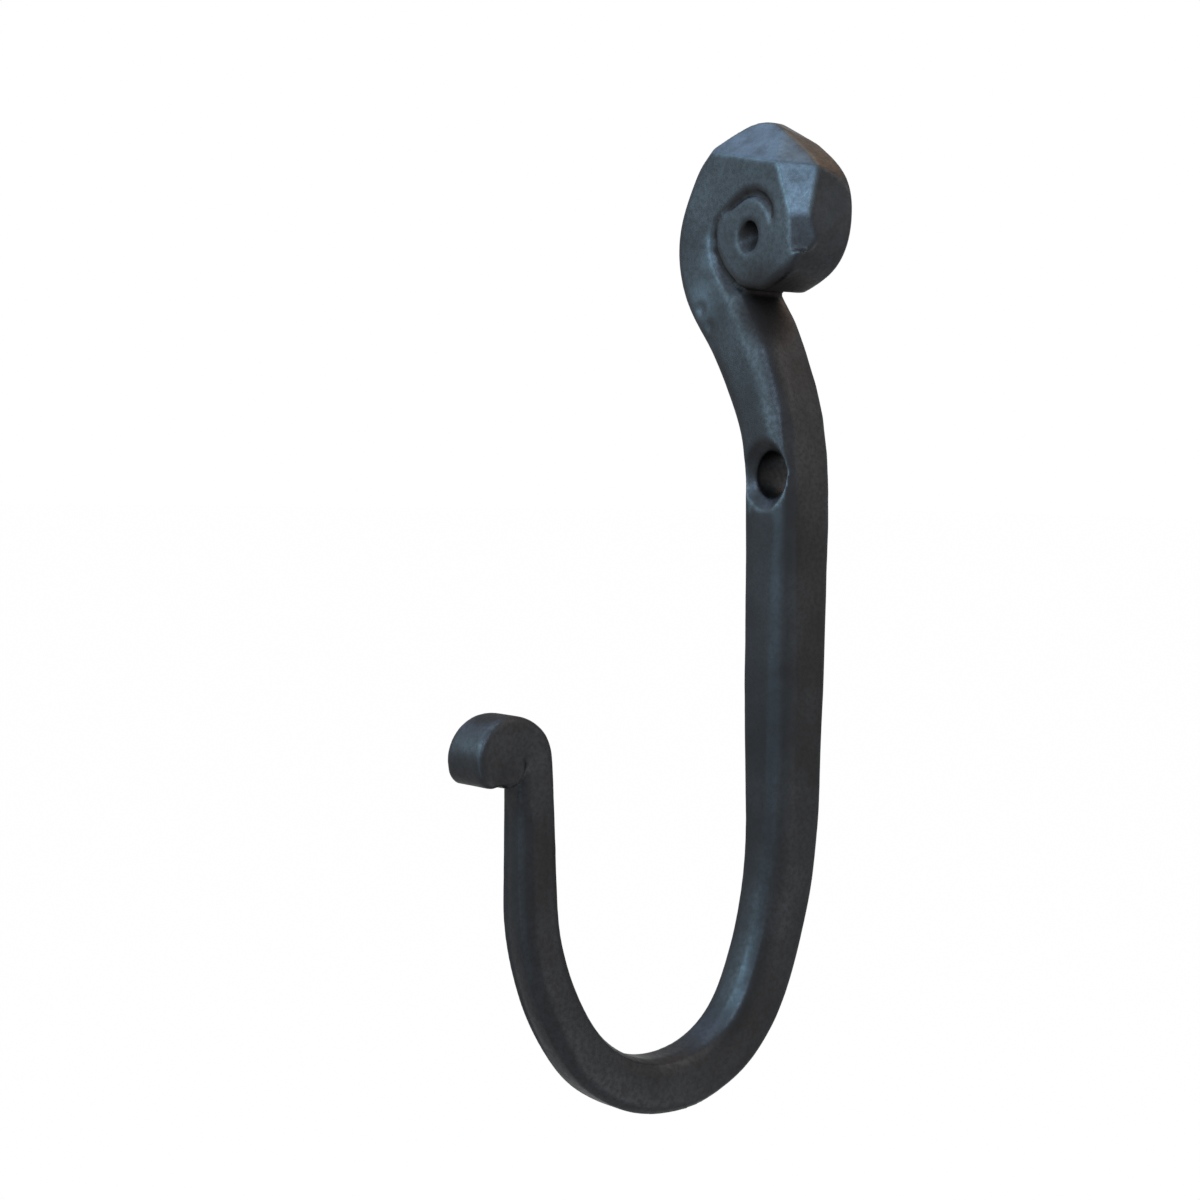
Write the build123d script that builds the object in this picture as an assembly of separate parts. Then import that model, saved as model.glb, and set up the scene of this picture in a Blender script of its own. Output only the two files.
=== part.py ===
from build123d import *
from math import cos, sin, radians
import os

os.makedirs("parts", exist_ok=True)

# A coat hook forged from one length of square bar, in millimetres.  The back of the
# bar lies on the wall, the plane Y = 0; the room is towards -Y; +Z is up.  The origin
# is where the screw hole's axis meets the wall.

# ---- the bar and its screw hole
bar = 8.0              # side of the square bar, and depth of neck and scroll
corner = 0.7           # worn corner of the bar, measured along each face
beaten_mid = 0.3       # how far in the middle of a beaten corner lies, as a share of its size
joint_z = -6.0         # height where the neck gives way to the drawn-out hook
hole_r = 2.75          # screw hole, clears a 5 mm screw
sink_r = 4.3           # hand cut countersink at the front face
sink_deep = 1.3

# ---- the neck: middle of the bar as (x, z, lean to the left in degrees, width / bar)
neck_run = (
    (0.0, joint_z, 0.0, 1.0),
    (-0.3, 0.0, 6.0, 1.0),
    (-1.1, 5.2, 17.0, 1.02),
    (-3.4, 10.9, 30.0, 1.07),
    (-7.9, 18.2, 39.0, 1.14),
    (-12.0, 22.9, 31.0, 1.09),
)

# front edge of the neck on the right, beaten round by these amounts at equal steps along it
neck_wear = (2.1, 2.1, 2.1, 2.3, 2.3, 2.4, 2.5, 2.1)

# ---- the scroll, rolled clockwise in the plane of the wall
eye_x = -5.0           # middle of the roll
eye_z = 29.6
# the rim as (degrees round from the left, radius); it ends where it comes back to the neck
coil_edge = ((0, 13.2), (30, 12.5), (45, 12.7), (60, 12.95), (76, 14.2), (92, 13.9),
             (120, 12.35), (150, 12.75), (180, 11.75), (210, 9.95), (240, 8.15), (277, 6.8))
# the seam between the turns as (degrees round, radius, depth), going on from the notch
seam_run = ((297, 6.4, 1.5), (312, 6.1, 1.3), (328, 5.9, 1.15), (343, 5.85, 1.0), (360, 5.7, 0.9),
            (376, 5.65, 0.55), (392, 5.0, 0.4), (410, 4.3, 0.75), (432, 4.3, 0.9), (454, 4.8, 0.9),
            (474, 5.25, 0.85), (493, 5.6, 0.9), (510, 5.7, 0.8), (526, 5.6, 0.45), (548, 5.6, -0.1))
seam_deep = 1.5        # depth of the seam at the full, and its half width there
seam_half = 1.0
seam_foot = 0.05       # half width of its foot
eye_pit = (0.9, -0.65) # middle of the pit's mouth, from the middle of the roll
eye_wide = 2.05        # half width and half height of the mouth
eye_high = 2.2
eye_foot = (1.1, 0.4)  # middle of its foot, which lies under the upper side of the mouth
foot_share = 0.25      # size of the foot against the mouth
eye_deep = 2.4

# ---- hammered flats round the rim of the scroll: where the middle of each flat's block
# stands on the front (x, z), its normal, and the block's level length and its height
flats = (
    ((-3.5, 38.7), (0.12, -0.73, 0.67), 24.0, 16.0),      # along the top
    ((1.2, 37.9), (0.51, -0.46, 0.73), 20.0, 20.0),       # top right corner
    ((1.9, 36.0), (0.67, -0.70, 0.27), 14.0, 14.0),       # below it, down the right
    ((4.8, 32.3), (0.94, -0.30, 0.17), 18.0, 12.0),       # on the rim itself
    ((-2.7, 43.8), (0.42, 0.20, 0.89), 24.0, 16.0),       # on the rim behind the corner
    ((3.8, 29.7), (0.69, -0.72, 0.05), 12.0, 5.7),        # lowest, a narrow one
)

# ---- the hook: drawn down the wall, round the bend, up the leg and into the tip curl
drop = 5.0             # length below the joint over which the beaten corner grows
straight = 35.8        # from the joint down to the bend
stand_off = 0.1        # the drawn bar stands off the wall by this much at the bend
bend = ((55.0, 23.1), (15.8, 119.3), (31.0, 35.2))   # radius, degrees
leg = 15.4
curl = ((3.8, 106.0), (2.85, 84.0), (2.4, 60.0))     # radius, degrees, turned outwards
end_faces = -97.0      # the end of the curl is dressed to face this way, in degrees
spacing = 2.5          # length of bar from one section to the next, at most
hook_sizes = (         # thickness, width, worn corners, the corner beaten round on +X
    (bar, bar, corner, neck_wear[0]), # joint
    (7.95, 7.95, 0.8, 2.3),           # below the joint
    (7.75, 7.8, 0.8, 2.7),            # half way down
    (7.4, 7.1, 0.8, 2.7),             # start of the bend
    (7.2, 6.4, 0.8, 2.6),             # middle of its first arc
    (6.8, 6.1, 0.9, 2.0),             # lowest point
    (5.75, 5.6, 0.9, 1.6),            # middle of its last arc
    (5.5, 5.3, 0.8, 1.4),             # foot of the leg
    (4.9, 4.6, 0.8, 1.0),             # head of the leg
    (5.3, 6.8, corner, corner),       # top of the curl
    (4.4, 7.5, corner, corner),       # where the tip points down
    (4.8, 7.4, corner, corner),       # end of the curl
)

wall = Plane.XZ                                       # x to +X, y to +Z, normal to -Y
spare = 0.3                                           # how far a cutter stands out of the face


def neck_side(sign):
    """Points down one side of the neck, square to its middle line."""
    points = []
    for x, z, lean, share in neck_run:
        half = sign * share * bar / 2
        points.append((x + half * cos(radians(lean)), z + half * sin(radians(lean))))
    return points


def coil_point(turn, radius):
    """A point of the scroll, 'turn' degrees clockwise from the left of the eye."""
    angle = radians(180 - turn)
    return (eye_x + radius * cos(angle), eye_z + radius * sin(angle))


def lost_corner(amount, mid):
    """What a corner at (0, 0) loses along each face, and in its middle, and what lies outside."""
    far = -amount - spare * (amount - mid) / mid
    return Polyline((far, spare), (-mid, -mid), (spare, far), (spare, spare), close=True)


def groove(depth):
    """The V of the seam; where it is less deep it is also narrower."""
    top = (depth + spare) * seam_half / seam_deep
    return Polyline((-top, spare), (-seam_foot, -depth), (seam_foot, -depth), (top, spare), close=True)


def worn_edge(edge, face):
    """Cutter that wears the long outer edge of the plate to a narrow flat."""
    path = Pos(0, -bar if face < 0 else 0, 0) * (wall * edge)
    sideways = Vector(-1, 0, 0)
    square = Plane(path @ 0, x_dir=sideways, z_dir=sideways.cross(Vector(0, face, 0)))
    return sweep(square * make_face(lost_corner(corner, corner / 2)), path=path)


def across(outline, place, along, face):
    """A cutter's outline, stood square across its path on one face of the plate."""
    along = Vector(along[0], 0, along[1])
    square = Plane((place[0], -bar if face < 0 else 0, place[1]),
                   x_dir=along.cross(Vector(0, -1, 0)), z_dir=along * face)
    return square * make_face(outline)


def seam(edge, face):
    """Cutter along the neck's inner edge, beaten round in front, and on up between the turns."""
    cuts = []
    steps = len(neck_wear) - 1
    for i, amount in enumerate(neck_wear):
        place, along = edge @ (i / steps), edge % (i / steps)
        outline = lost_corner(corner, corner / 2)
        if face < 0:
            outline = lost_corner(amount, beaten_mid * amount)
        cuts.append(across(outline, (place.X, place.Y), (along.X, along.Y), face))
    places = [coil_point(*row[:2]) for row in seam_run]
    for i, row in enumerate(seam_run):
        before, after = places[max(i - 1, 0)], places[min(i + 1, len(places) - 1)]
        along = (after[0] - before[0], after[1] - before[1])
        cuts.append(across(groove(row[2]), places[i], along, face))
    return loft(cuts, ruled=True)


def head_blank():
    """Neck and roll as one plate, its long edges worn."""
    left = neck_side(-1) + [coil_point(*place) for place in coil_edge]
    right = neck_side(1)[:-1] + [left[-1]]
    outer = Spline(*left, tangents=[(0, 1), (-1, 0.1)])
    inner = Spline(*right, tangents=[(0, 1), (-0.8, 1)])
    body = extrude(wall * make_face(outer + inner + Line(right[0], left[0])), bar)
    for face in (-1, 1):
        body -= worn_edge(outer, face)
        body -= seam(inner, face)
    return body


def eye(face):
    """Cutter for the leaning pit at the middle of the roll."""
    rings = []
    for (right, up), share, depth in ((eye_pit, 1.0, -spare), (eye_foot, foot_share, eye_deep)):
        place = (eye_x + right, (-bar if face < 0 else 0) - face * depth, eye_z + up)
        level = Plane(place, x_dir=(1, 0, 0), z_dir=(0, -face, 0))
        rings.append(level * Ellipse(share * eye_wide, share * eye_high))
    return loft(rings)


def flat(place, normal, long, high):
    """Block that takes away what stands proud of one hammered flat."""
    x, z = place
    normal = Vector(*normal)
    face = Plane((x, -bar, z), x_dir=Vector(0, 0, 1).cross(normal), z_dir=normal)
    return face * Box(long, high, bar, align=(Align.CENTER, Align.CENTER, Align.MIN))


def screw_hole():
    mouth = Plane((0, -bar, 0), x_dir=(1, 0, 0), z_dir=(0, 1, 0))
    flare = (sink_r - hole_r) / sink_deep
    sink = loft([mouth.offset(-1) * Circle(sink_r + flare), mouth.offset(sink_deep) * Circle(hole_r)])
    return extrude(wall * Circle(hole_r), 2 * bar, both=True) + sink


def head():
    body = head_blank()
    for face in (-1, 1):
        body -= eye(face)
    for block in flats:
        body -= flat(*block)
    return body - screw_hole()


def hook_run():
    """Middle of the bar below the joint as (distance, forward, z, heading), and the
    distances where one stretch gives way to the next."""
    forward, z, heading, gone = bar / 2, joint_z, -90.0, 0.0
    points = [(gone, forward, z, heading)]
    marks = [gone]
    stretches = ((None, drop), (None, straight - drop)) + bend + ((None, leg),)
    stretches += tuple((radius, -turn) for radius, turn in curl)
    for radius, amount in stretches:
        turn = amount if radius else 0.0
        length = radius * radians(abs(turn)) if radius else amount
        steps = max(4, round(length / spacing))
        step = 2 * radius * sin(radians(abs(turn)) / steps / 2) if radius else length / steps
        for _ in range(steps):
            heading += turn / steps / 2
            forward += step * cos(radians(heading))
            z += step * sin(radians(heading))
            heading += turn / steps / 2
            gone += length / steps
            points.append((gone, forward, z, heading))
        marks.append(gone)
    return points, marks


def between(value, places, rows):
    """Sizes at one distance, straight between the rows given at the places."""
    for low, high, first, last in zip(places, places[1:], rows, rows[1:]):
        if value <= high + 1e-6:
            share = (value - low) / (high - low)
            return [a + (b - a) * share for a, b in zip(first, last)]
    return list(rows[-1])


def section(thick, wide, worn, beaten):
    """Bar section: three corners worn, the one inside the bend on +X beaten round."""
    a, b = wide / 2, thick / 2
    mid = beaten_mid * beaten
    return make_face(Polyline((-a, -b + worn), (-a + worn, -b), (a - worn, -b), (a, -b + worn),
                              (a, b - beaten), (a - mid, b - mid), (a - beaten, b),
                              (-a + worn, b), (-a, b - worn), close=True))


def hook():
    points, marks = hook_run()
    first, lowest, last = [(marks[i] + marks[i + 1]) / 2 for i in (2, 3, 4)]
    places = [0, drop, (drop + straight) / 2, straight, first, lowest, last] + marks[5:]
    sections = []
    for gone, forward, z, heading in points:
        on_wall = min(gone, straight)
        set_back = (bar - between(on_wall, places, hook_sizes)[0]) / 2
        forward += stand_off * on_wall / straight - set_back
        facing = radians(max(heading, end_faces))
        place = Plane((0, -forward, z), x_dir=(1, 0, 0), z_dir=(0, -cos(facing), sin(facing)))
        sections.append(place * section(*between(gone, places, hook_sizes)))
    return loft(sections)


export_step(head() + hook(), "parts/coat_hook.step")
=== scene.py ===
import math

import bmesh
import bpy
from mathutils import Matrix, Vector


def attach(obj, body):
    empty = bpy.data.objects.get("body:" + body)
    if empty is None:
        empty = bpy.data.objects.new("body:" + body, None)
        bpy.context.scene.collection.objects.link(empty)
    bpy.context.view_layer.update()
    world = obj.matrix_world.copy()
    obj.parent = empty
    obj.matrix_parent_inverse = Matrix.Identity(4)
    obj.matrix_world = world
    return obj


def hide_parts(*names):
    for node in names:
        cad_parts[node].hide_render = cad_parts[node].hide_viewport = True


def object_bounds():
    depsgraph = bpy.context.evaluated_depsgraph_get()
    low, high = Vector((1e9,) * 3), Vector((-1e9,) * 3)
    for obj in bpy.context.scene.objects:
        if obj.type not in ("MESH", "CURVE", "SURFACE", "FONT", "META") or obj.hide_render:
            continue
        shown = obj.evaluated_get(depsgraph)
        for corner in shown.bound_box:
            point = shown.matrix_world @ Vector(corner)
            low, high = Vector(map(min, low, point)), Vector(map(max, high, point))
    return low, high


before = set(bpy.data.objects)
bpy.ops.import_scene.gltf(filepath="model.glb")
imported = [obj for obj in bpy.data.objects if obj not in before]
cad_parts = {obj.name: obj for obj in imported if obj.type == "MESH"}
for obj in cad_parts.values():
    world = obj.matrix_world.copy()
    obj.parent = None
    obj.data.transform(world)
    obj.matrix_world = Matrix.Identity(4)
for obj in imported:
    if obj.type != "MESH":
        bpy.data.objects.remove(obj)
cad_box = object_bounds()

# A coat hook forged from one length of square bar.  Sizes are in millimetres, angles in
# degrees, and a pair such as SCROLL_Z gives where a change begins and where it is complete.
MM = 0.001

# ---- the forged skin
SKIN_GRAIN = 0.268         # spacing of the skin's vertices
MERGE_WITHIN = 0.0005      # corners of the loose triangles are joined this close together
EASE_STEPS = 3             # rounds of smoothing, over the whole bar
ROUND_STEPS = 22           # on the beaten corner
CLOSE_STEPS = 96           # round the tip's crease, and on the leg's corner
WEAR_STEPS = 11            # a place is set against its surroundings over this many rounds
FULL_WEAR = 0.25           # an edge that stands out this far is rubbed bare
MARK_SIZE = 6.5            # across one soft hammer mark
MARK_DEPTH = 0.14
SCALE_PATCH = 1.6          # across one flake of fire scale
SCALE_DEPTH = 0.03

# ---- the parts of the bar
SCROLL_Z = (20, 26)        # up the neck, into the scroll
OFF_HOLE = (5, 10)         # out from the middle of the screw hole
BAR_TOP_Z = (4, -6)        # down past the screw hole, to the straight bar
BAR_FOOT_Z = (-50, -34)    # up out of the bend, to the straight bar
BAR_BACK_Y = (-20, -16)    # back from the hook, to the straight bar
LEG_Y = (-36, -40)         # out through the bend, to the leg
OFF_TIP_Y = (-40, -36)     # back from the tip, or down from it, onto the plain leg
OFF_TIP_Z = (-37, -40)
BEATEN_WAY = (1, -1, 0)    # the bar's corner on this side is beaten round
BEATEN_SPREAD = 85
CREASE = (0, -46.8, -33.8) # the tip is forged shut on the leg along this line, across the bar
CREASE_REACH = 3.2
CREASE_WIDE = 4.4
CREASE_FILL = 6.2          # so it stays a shallow dimple on each side
CREASE_SIDES = 24
# Nicks that a hammer's corner left: middle, width and depth.
NICKS = (((-12.9, -8.0, 20.6), 3.0, 0.22), ((-11.2, -8.0, 18.4), 2.6, 0.16),
         ((3.2, -8.5, -52.3), 1.5, 0.20), ((2.5, -8.8, -54.5), 1.8, 0.16),
         ((-2.5, -8.0, -3.9), 2.2, 0.12))

# ---- where the iron is painted lighter and bluer: painted reflections on the flats, painted highlights on the bend and the bar's corner, and painted light that lifts the shade
# The three flats that the hammer struck last: a point on each and the way that it faces. Each
# flat is painted lighter and bluer, a painted reflection of the light above.
STRUCK_FLATS = (((-3.5, -8, 38.7), (0.12, -0.73, 0.67)),
                ((1.2, -8, 37.9), (0.51, -0.46, 0.73)),
                ((1.9, -8, 36.0), (0.67, -0.70, 0.27)))
FLAT_DEPTH = 0.25          # what lies closer than this to a flat belongs to it
BEND_GLINT_MIDDLE = (0, -12, -60) # painted highlight: lighter, bluer iron on the inside of the bend about here, where it faces one way
BEND_GLINT_REACH = 11.0
BEND_GLINT_FACING = (0.50, -0.65, 0.57)
BEND_GLINT_SPREAD = 30
BEND_GLINT_SHARE = 0.8
CORNER_GLINT_SPREAD = 38         # painted highlight, a little lighter and bluer, on the straight bar's beaten corner
CORNER_GLINT_SHARE = 0.2
# Painted light, lighter and bluer iron, that lifts the shade on the neck, along the seam and
# round the scroll: middle, reach and share.
LIT_SPOTS = (((-12.6, -8.0, 21.6), 4.4, 0.65), ((-11.5, -8.0, 15.0), 2.5, 0.5),
               ((-10.8, -8.0, 29.0), 2.4, 0.65), ((-11.6, -8.0, 26.6), 2.6, 0.6),
               ((10.0, 0.0, 31.0), 10.0, 0.35))

# ---- where the hook is less worn than its edges say, and where painted shade lies
CALM_SHARE = 0.8           # the beaten corner, by this share
TIP_CALM = 0.8             # and the tip, by this share of that
# Painted shade, darker, browner and duller, under the scroll and on top of the tip: middle and
# reach.
SHADED_DULL_SPOTS = (((-1.5, -6.0, 21.0), 8.0), ((0.0, -47.0, -26.0), 6.5))
LEG_SOOT = 0.2             # and a little on the leg's beaten corner

# ---- the finish
BLOTCH_SIZE = 9.0          # across one patch where the black took lighter or darker
MOTTLE_SIZE = 2.6          # across one patch of the rubbed places and the painted highlights
SCALE_SIZE = 0.55          # grains of the scale, drawn coarse enough to show
IRON_DARK = "#292a2c"
IRON_LIGHT = "#323437"
FIRE_SCALE = "#262525"
# Greyer rubbed iron on the edges; its blue is a painted reflection of the cold light, and it
# is also the colour of the painted highlights
RUBBED_IRON_AND_SHEEN = "#4f5a62"
# Soot and wax in the hollows, and the colour of the painted shade under the scroll and on the
# tip
SOOT_AND_SHADE = "#2a2828"
EDGE_TINT = "#d8d8d8"      # the scale keeps the iron from shining where it is seen edge on
EDGE_SHARE = 0.3           # how far the edges are rubbed, and how strongly the painted highlights and painted light are laid on
BARED_AND_LIT_SHARE = 0.65
SCALE_SHARE = 0.45         # how much of the scale's own brown shows
MOTTLE_SHARE = (0.45, 1.0) # how evenly the rubbed places and the painted highlights are laid on
SATIN = (0.40, 0.50)       # roughness from smooth black to coarse scale
SOOT_DULLS = 0.3           # and what soot adds to it
GRAIN_STRENGTH = 0.35
GRAIN_DEPTH = 0.05
# Levels of the noise between which each pattern turns from one state to the other.
BLOTCH_TURNS = (0.35, 0.65)
MOTTLE_TURNS = (0.35, 0.65)
SCALE_TURNS = (0.40, 0.65)
SATIN_TURNS = (0.35, 0.70)
# Wear at which rubbing, and soot with painted shade, show.  It is 1 on a full edge and below 0
# in a hollow or under painted shade.
RUBBING_SHOWS = (0.15, 0.90)
SOOT_GATHERS = (-0.10, -0.60)

# ---- the camera, level with the screw hole and well to its right
CAMERA_PLACE = (232.5, -206.5, -0.4)
CAMERA_AZIMUTH = 53.19     # turned from straight in front, towards +X
CAMERA_ELEVATION = 2.86    # looking down
CAMERA_ROLL = 1.02
CAMERA_NEAR = 10.0         # nothing closer than this is drawn
LENS = 75.0
SENSOR = 36.0

# ---- the studio
# Soft boxes: name, azimuth from straight in front towards +X, elevation, distance,
# width, height, watts, colour.
LAMPS = (
    ("window", -75, 42, 400, 220, 220, 0.52, "#b4d4ff"),
    ("front", -22, 20, 400, 400, 200, 2.15, "#c0e6f8"),
    ("low_fill", 5, -18, 400, 200, 200, 0.15, "#b4dcf8"),
    ("skylight", 34, 37, 400, 200, 200, 1.1, "#c4e0fa"),
    ("above", -50, 76, 400, 220, 220, 0.7, "#cfe4ff"),
    ("side", 134, 6, 400, 260, 200, 0.13, "#ffe8d0"),
    ("high_side", 126, 40, 400, 200, 200, 0.38, "#fff2e4"),
    ("warm_wall", 184, 58, 400, 200, 200, 0.5, "#ffc890"),
    ("bounce", 112, -34, 400, 200, 200, 0.20, "#fff8f0"),
)
LAMPS_AIM = (0, -10, 10)
WHITE = (1, 1, 1, 1)
SURROUND = 0.5             # strength of the white surround as a light
FLOOR_BELOW = 260.0        # the hook hangs this far above the floor
FLOOR_SIZE = 40000.0
FLOOR_BOARD = "#f4f4f4"
FLOOR_GLOW = 1.03          # the board is as white as the surround, but for the shadow
FLOOR_SHARE = 0.94         # how far that glow stands in for the lit board


def linear(hex_colour):
    """sRGB hex, as '#rrggbb', to linear RGBA."""
    def channel(text):
        value = int(text, 16) / 255
        return value / 12.92 if value <= 0.04045 else ((value + 0.055) / 1.055) ** 2.4
    return tuple(channel(hex_colour[i:i + 2]) for i in (1, 3, 5)) + (1.0,)


def add(tree, kind, inputs=None, **settings):
    """Adds one node, with its settings by name and its inputs by name or number, each of
    them a value or a link."""
    node = tree.nodes.new(kind)
    for name, value in settings.items():
        setattr(node, name, value)
    for key, value in (inputs or {}).items():
        if isinstance(value, bpy.types.NodeSocket):
            tree.links.new(value, node.inputs[key])
        else:
            node.inputs[key].default_value = value
    return node


def bare_material(name):
    """A new material and its node tree, emptied."""
    material = bpy.data.materials.new(name)
    material.use_nodes = True
    material.node_tree.nodes.clear()
    return material, material.node_tree


def link_in(thing):
    """Puts an object in the scene."""
    bpy.context.scene.collection.objects.link(thing)
    return thing


def blackened_iron():
    """Wrought iron, forged, wire brushed, blackened and waxed: near black with a cold satin
    sheen.  Handled and hammered edges are rubbed back to greyer iron, and soot and wax
    stay in the hollows, where they are browner and dull.  The rubbed iron's blue is a painted
    reflection, and the same lighter iron is laid on as painted highlights and painted light;
    darker, duller patches under the scroll and on top of the tip are painted shade."""
    material, tree = bare_material("blackened_wrought_iron")
    place = add(tree, "ShaderNodeTexCoord").outputs["Object"]

    def noise(size, detail=2.0, rough=0.5):
        """Noise whose patches are about size across."""
        return add(tree, "ShaderNodeTexNoise",
                   {"Vector": place, "Scale": 1 / (size * MM), "Detail": detail,
                    "Roughness": rough}).outputs[0]

    def between(value, span, result=(0.0, 1.0)):
        """A value mapped from one span to another, and held at its ends."""
        return add(tree, "ShaderNodeMapRange",
                   {0: value, 1: span[0], 2: span[1], 3: result[0], 4: result[1]}).outputs[0]

    def mix(share, first, second):
        return add(tree, "ShaderNodeMix", {0: share, 6: first, 7: second},
                   data_type="RGBA").outputs[2]

    def calc(operation, first, second):
        return add(tree, "ShaderNodeMath", {0: first, 1: second},
                   operation=operation).outputs[0]

    def noted(name):
        """What the skin notes at each place under a name."""
        return add(tree, "ShaderNodeAttribute", attribute_name=name).outputs["Fac"]

    def ramp(factor, span, first, last):
        """A colour that turns from one to another over a span of the factor."""
        node = add(tree, "ShaderNodeValToRGB", {0: factor})
        for point, position, colour in zip(node.color_ramp.elements, span, (first, last)):
            point.position = position
            point.color = linear(colour)
        return node.outputs[0]

    speck = noise(SCALE_SIZE, 2.0, 0.6)
    wear_and_shade = noted("wear_and_shade")
    mottled = between(noise(MOTTLE_SIZE, 3.0), MOTTLE_TURNS, MOTTLE_SHARE)
    rubbed_and_highlit = calc("MAXIMUM", between(wear_and_shade, RUBBING_SHOWS, (0.0, EDGE_SHARE)),
                  calc("MULTIPLY", noted("bared_and_lit"), BARED_AND_LIT_SHARE))
    # Soot in the hollows, and painted shade where the spots lower the wear
    sooty_and_shaded = between(wear_and_shade, SOOT_GATHERS)

    black = ramp(noise(BLOTCH_SIZE, 3.0), BLOTCH_TURNS, IRON_DARK, IRON_LIGHT)
    black = mix(between(speck, SCALE_TURNS, (0.0, SCALE_SHARE)), black, linear(FIRE_SCALE))
    # Rubbed edges, plus painted highlights, painted reflections and painted light in lighter,
    # bluer iron
    colour = mix(calc("MULTIPLY", rubbed_and_highlit, mottled), black, linear(RUBBED_IRON_AND_SHEEN))
    colour = mix(sooty_and_shaded, colour, linear(SOOT_AND_SHADE))
    satin = between(speck, SATIN_TURNS, SATIN)
    rough = calc("ADD", calc("MULTIPLY", sooty_and_shaded, SOOT_DULLS), satin)
    grain = add(tree, "ShaderNodeBump", {"Height": speck, "Strength": GRAIN_STRENGTH,
                                         "Distance": GRAIN_DEPTH * MM}).outputs[0]
    shader = add(tree, "ShaderNodeBsdfPrincipled",
                 {"Base Color": colour, "Metallic": 1.0, "Specular Tint": linear(EDGE_TINT),
                  "Roughness": rough, "Normal": grain})
    add(tree, "ShaderNodeOutputMaterial", {0: shader.outputs[0]})
    return material


def skin_inputs(tree):
    """The sizes that the skin's node tree is given, by name."""
    for name, kind, value in (("Ease steps", "NodeSocketInt", EASE_STEPS),
                              ("Round steps", "NodeSocketInt", ROUND_STEPS),
                              ("Close steps", "NodeSocketInt", CLOSE_STEPS),
                              ("Mark size", "NodeSocketFloat", MARK_SIZE * MM),
                              ("Mark depth", "NodeSocketFloat", MARK_DEPTH * MM),
                              ("Scale size", "NodeSocketFloat", SCALE_PATCH * MM),
                              ("Scale depth", "NodeSocketFloat", SCALE_DEPTH * MM),
                              ("Wear steps", "NodeSocketInt", WEAR_STEPS),
                              ("Full wear", "NodeSocketFloat", FULL_WEAR * MM),
                              ("Flat depth", "NodeSocketFloat", FLAT_DEPTH * MM),
                              ("Bend glint reach", "NodeSocketFloat", BEND_GLINT_REACH * MM)):
        socket = tree.interface.new_socket(name, in_out="INPUT", socket_type=kind)
        socket.default_value = value


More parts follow.
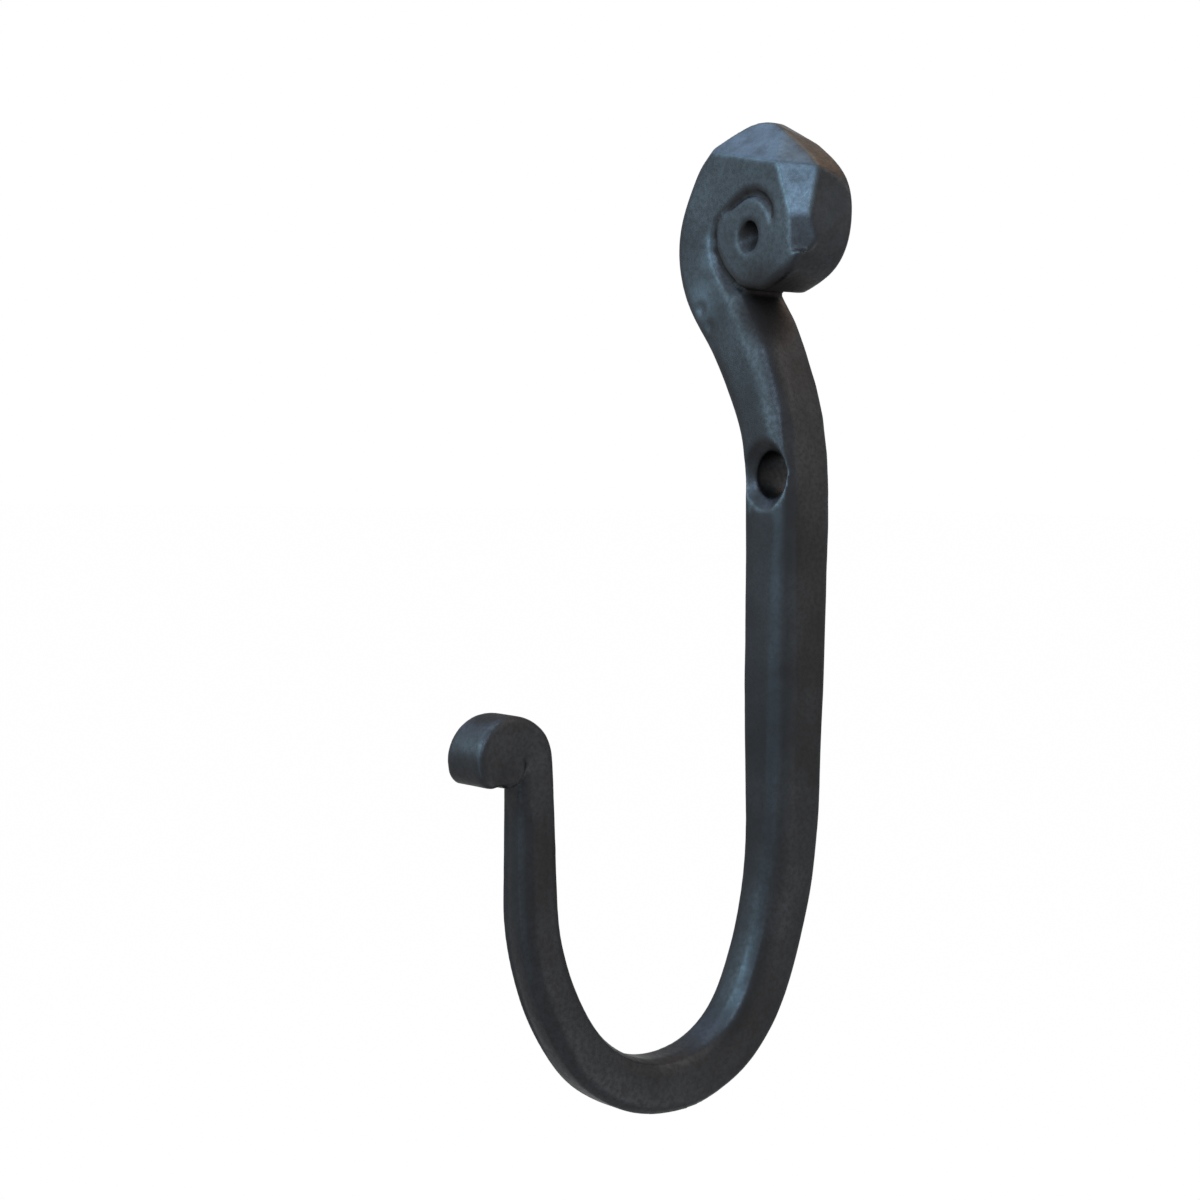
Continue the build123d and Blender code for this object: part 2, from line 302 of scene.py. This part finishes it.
def hammered_skin(iron):
    """Geometry Nodes: notes for the finish how far each place stands out or lies sunk, less
    the spots of painted shade, and where the iron is painted lighter as painted highlights
    and painted light, and then eases the bar's edges and dishes its faces with hammer marks."""
    tree = bpy.data.node_groups.new("hammered_skin", "GeometryNodeTree")
    tree.interface.new_socket("Bar", in_out="INPUT", socket_type="NodeSocketGeometry")
    skin_inputs(tree)
    tree.interface.new_socket("Skin", in_out="OUTPUT", socket_type="NodeSocketGeometry")
    given = add(tree, "NodeGroupInput").outputs
    place = add(tree, "GeometryNodeInputPosition").outputs[0]
    normal = add(tree, "GeometryNodeInputNormal").outputs[0]
    part = add(tree, "ShaderNodeSeparateXYZ", {0: place}).outputs

    def calc(operation, first, second=0.0):
        return add(tree, "ShaderNodeMath", {0: first, 1: second},
                   operation=operation).outputs[0]

    def vector(operation, output, first, second):
        return add(tree, "ShaderNodeVectorMath", {0: first, 1: second},
                   operation=operation).outputs[output]

    def product(first, *more):
        for one in more:
            first = calc("MULTIPLY", first, one)
        return first

    def most(first, second):
        return calc("MAXIMUM", first, second)

    def all_but(share):
        return calc("SUBTRACT", 1.0, share)

    def length(offset):
        return vector("LENGTH", 1, offset, (0, 0, 0))

    def from_point(point):
        return vector("SUBTRACT", 0, place, Vector(point) * MM)

    def near(distance, reach):
        """1 at no distance, and 0 from reach on."""
        return add(tree, "ShaderNodeMapRange", {0: distance, 1: reach, 2: 0.0},
                   interpolation_type="SMOOTHSTEP").outputs[0]

    def spot(point, reach):
        """1 at a point, and 0 from reach on."""
        return near(length(from_point(point)), reach)

    def past(value, span):
        """0 where the span begins, and 1 from where it ends."""
        return add(tree, "ShaderNodeMapRange",
                   {0: value, 1: span[0] * MM, 2: span[1] * MM},
                   interpolation_type="SMOOTHSTEP").outputs[0]

    def facing(way, spread):
        """1 where the skin faces that way, and 0 where it is turned from it by spread."""
        turned = all_but(vector("DOT_PRODUCT", 1, normal, Vector(way).normalized()))
        return near(turned, 1 - math.cos(math.radians(spread)))

    def eased(steps):
        """Where each point would be with its neighbours' places shared out."""
        return add(tree, "GeometryNodeBlurAttribute", {"Value": place, "Iterations": steps},
                   data_type="FLOAT_VECTOR").outputs[0]

    def blend(share, first, second):
        return add(tree, "ShaderNodeMix", {0: share, 4: first, 5: second},
                   data_type="VECTOR").outputs[1]

    def note(shape, name, value):
        """Notes a value at each place, for the finish to read."""
        return add(tree, "GeometryNodeStoreNamedAttribute",
                   {"Geometry": shape, "Name": name, "Value": value},
                   data_type="FLOAT", domain="POINT").outputs[0]

    def marks(size, depth, detail):
        """How deep the marks of one size are at each place."""
        pattern = add(tree, "ShaderNodeTexNoise",
                      {"Vector": place, "Scale": calc("DIVIDE", 1.0, size),
                       "Detail": detail, "Roughness": 0.5}, noise_dimensions="3D").outputs[0]
        return calc("MULTIPLY", pattern, depth)

    # The parts of the bar, each 1 there and 0 elsewhere.
    coil = past(part["Z"], SCROLL_Z)
    off_hole = past(length(vector("MULTIPLY", 0, place, (1, 0, 1))), OFF_HOLE)
    off_tip = most(past(part["Y"], OFF_TIP_Y), past(part["Z"], OFF_TIP_Z))
    rounded = product(all_but(coil), off_hole, off_tip, facing(BEATEN_WAY, BEATEN_SPREAD))
    leg = product(rounded, past(part["Y"], LEG_Y))
    straight = product(past(part["Z"], BAR_TOP_Z), past(part["Z"], BAR_FOOT_Z),
                       past(part["Y"], BAR_BACK_Y))
    crease = near(length(vector("MULTIPLY", 0, from_point(CREASE), (0, 1, 1))),
                  CREASE_REACH * MM)

    # Where the iron is painted lighter: painted reflections, painted highlights and painted
    # light in the shade.
    bared_and_lit = product(spot(BEND_GLINT_MIDDLE, given["Bend glint reach"]),
                    facing(BEND_GLINT_FACING, BEND_GLINT_SPREAD), BEND_GLINT_SHARE)
    for point, reach, share in LIT_SPOTS:
        bared_and_lit = most(bared_and_lit, product(spot(point, reach * MM), share))
    bared_and_lit = most(bared_and_lit, product(straight, facing(BEATEN_WAY, CORNER_GLINT_SPREAD), CORNER_GLINT_SHARE))
    for point, way in STRUCK_FLATS:
        off = vector("DOT_PRODUCT", 1, from_point(point), Vector(way).normalized())
        on_flat = near(calc("ABSOLUTE", off), given["Flat depth"])
        bared_and_lit = most(bared_and_lit, product(on_flat, coil))

    # How far each place stands out of its surroundings, less what soot fills in, and less
    # where painted shade is laid on.
    standing_less_shade = vector("DOT_PRODUCT", 1,
                      vector("SUBTRACT", 0, place, eased(given["Wear steps"])), normal)
    calm = most(rounded, product(all_but(off_tip), TIP_CALM))
    standing_less_shade = product(standing_less_shade, all_but(product(calm, CALM_SHARE)))
    # Painted shade: darker, duller patches under the scroll and on top of the tip, and a
    # little soot and wax on the leg
    dulled_and_shaded = product(leg, LEG_SOOT)
    for point, reach in SHADED_DULL_SPOTS:
        dulled_and_shaded = most(dulled_and_shaded, spot(point, reach * MM))
    standing_less_shade = calc("SUBTRACT", standing_less_shade, product(dulled_and_shaded, FULL_WEAR * MM))
    noted = note(given["Bar"], "wear_and_shade", calc("DIVIDE", standing_less_shade, given["Full wear"]))
    noted = note(noted, "bared_and_lit", bared_and_lit)

    # The edges eased, and the marks sunk in.
    softer = blend(rounded, eased(given["Ease steps"]), eased(given["Round steps"]))
    softer = blend(most(crease, leg), softer, eased(given["Close steps"]))
    worn = add(tree, "GeometryNodeSetPosition",
               {"Geometry": noted, "Position": softer}).outputs[0]
    sunk = calc("ADD", marks(given["Mark size"], given["Mark depth"], 0.0),
                marks(given["Scale size"], given["Scale depth"], 2.0))
    for point, wide, deep in NICKS:
        sunk = calc("ADD", sunk, product(spot(point, wide / 2 * MM), deep * MM))
    inwards = add(tree, "ShaderNodeVectorMath",
                  {0: normal, "Scale": calc("MULTIPLY", sunk, -1.0)},
                  operation="SCALE").outputs[0]
    dished = add(tree, "GeometryNodeSetPosition", {"Geometry": worn, "Offset": inwards})
    smooth = add(tree, "GeometryNodeSetShadeSmooth", {0: dished.outputs[0]})
    real = add(tree, "GeometryNodeRealizeInstances", {0: smooth.outputs[0]})
    coated = add(tree, "GeometryNodeSetMaterial", {0: real.outputs[0], "Material": iron})
    add(tree, "NodeGroupOutput", {0: coated.outputs[0]})
    return tree


def settled(thing):
    """Gives an object its evaluated mesh, in place of the mesh and modifiers it had."""
    graph = bpy.context.evaluated_depsgraph_get()
    mesh = bpy.data.meshes.new_from_object(thing.evaluated_get(graph))
    thing.modifiers.clear()
    thing.data = mesh


def forged_bar(node, iron):
    """The CAD bar, its crease hammered shut, with an even skin, worn and hammered."""
    mesh = node.data.copy()
    work = bmesh.new()
    work.from_mesh(mesh)
    bmesh.ops.remove_doubles(work, verts=work.verts, dist=MERGE_WITHIN * MM)
    across = Matrix.Translation(Vector(CREASE) * MM) @ Matrix.Rotation(math.pi / 2, 4, "Y")
    bmesh.ops.create_cone(work, cap_ends=True, segments=CREASE_SIDES,
                          radius1=CREASE_WIDE / 2 * MM, radius2=CREASE_WIDE / 2 * MM,
                          depth=CREASE_FILL * MM, matrix=across)
    work.to_mesh(mesh)
    work.free()
    bar = link_in(bpy.data.objects.new("forged_bar", mesh))
    even = bar.modifiers.new("even_skin", "REMESH")
    even.mode = "VOXEL"
    even.voxel_size = SKIN_GRAIN * MM
    settled(bar)
    hammer = bar.modifiers.new("hammered_skin", "NODES")
    hammer.node_group = hammered_skin(iron)
    settled(bar)
    bar.data.name = "forged_bar"
    return bar


def towards(azimuth, elevation):
    """The direction at an azimuth from straight in front, towards +X, and an elevation."""
    around, rise = math.radians(azimuth), math.radians(elevation)
    return Vector((math.sin(around) * math.cos(rise), -math.cos(around) * math.cos(rise),
                   math.sin(rise)))


def camera():
    """The camera, turned by its azimuth, elevation and roll."""
    back = towards(CAMERA_AZIMUTH, CAMERA_ELEVATION)
    level = Vector((0, 0, 1)).cross(back).normalized()
    right = Matrix.Rotation(math.radians(CAMERA_ROLL), 3, back) @ level
    up = back.cross(right)
    lens = bpy.data.cameras.new("camera")
    lens.sensor_width = SENSOR
    lens.lens = LENS
    lens.clip_start = CAMERA_NEAR * MM
    eye = link_in(bpy.data.objects.new("camera", lens))
    turn = Matrix((right, up, back)).transposed().to_4x4()
    eye.matrix_world = Matrix.Translation(Vector(CAMERA_PLACE) * MM) @ turn
    bpy.context.scene.camera = eye


def lamp(name, azimuth, elevation, distance, wide, high, watts, colour):
    """A soft box that faces the hook."""
    light = bpy.data.lights.new(name, "AREA")
    light.shape = "RECTANGLE"
    light.size = wide * MM
    light.size_y = high * MM
    light.energy = watts
    light.color = linear(colour)[:3]
    way = towards(azimuth, elevation)
    box = link_in(bpy.data.objects.new(name, light))
    box.location = (Vector(LAMPS_AIM) + way * distance) * MM
    box.rotation_euler = way.to_track_quat("Z", "Y").to_euler()


def rays(tree, *kinds):
    """1 for the kinds of ray that see the studio as plain white, and 0 for the others."""
    path = add(tree, "ShaderNodeLightPath").outputs
    seen = path[kinds[0]]
    for kind in kinds[1:]:
        seen = add(tree, "ShaderNodeMath", {0: seen, 1: path[kind]},
                   operation="MAXIMUM").outputs[0]
    return seen


def surround():
    """White to look at and in reflections, and a gentler light on the hook."""
    world = bpy.data.worlds.new("surround")
    world.use_nodes = True
    tree = world.node_tree
    tree.nodes.clear()
    seen = rays(tree, "Is Camera Ray", "Is Glossy Ray", "Is Transmission Ray")
    strength = add(tree, "ShaderNodeMapRange", {0: seen, 3: SURROUND, 4: 1.0}).outputs[0]
    glow = add(tree, "ShaderNodeBackground", {"Color": WHITE, "Strength": strength})
    add(tree, "ShaderNodeOutputWorld", {0: glow.outputs[0]})
    bpy.context.scene.world = world


def white_board():
    """Matt white board that glows a little, so that it meets the surround without an edge
    and still takes the hook's shadow."""
    material, tree = bare_material("matt_white_board")
    matt = add(tree, "ShaderNodeBsdfDiffuse", {"Color": linear(FLOOR_BOARD)}).outputs[0]
    glow = add(tree, "ShaderNodeEmission", {"Color": WHITE, "Strength": FLOOR_GLOW}).outputs[0]
    seen = rays(tree, "Is Camera Ray", "Is Glossy Ray")
    share = add(tree, "ShaderNodeMath", {0: seen, 1: FLOOR_SHARE},
                operation="MULTIPLY").outputs[0]
    both = add(tree, "ShaderNodeMixShader", {0: share, 1: matt, 2: glow})
    add(tree, "ShaderNodeOutputMaterial", {0: both.outputs[0]})
    return material


def lay_floor():
    """A wide white floor, well below the hook."""
    work = bmesh.new()
    bmesh.ops.create_grid(work, x_segments=1, y_segments=1, size=FLOOR_SIZE / 2 * MM)
    mesh = bpy.data.meshes.new("floor")
    work.to_mesh(mesh)
    work.free()
    mesh.transform(Matrix.Translation((0, 0, cad_box[0][2] - FLOOR_BELOW * MM)))
    mesh.materials.append(white_board())
    floor = link_in(bpy.data.objects.new("floor", mesh))


bpy.context.scene.view_settings.view_transform = "Standard"
camera()
for one in LAMPS:
    lamp(*one)
surround()
lay_floor()
bar = forged_bar(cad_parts["coat_hook"], blackened_iron())
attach(bar, "root")
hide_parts("coat_hook")
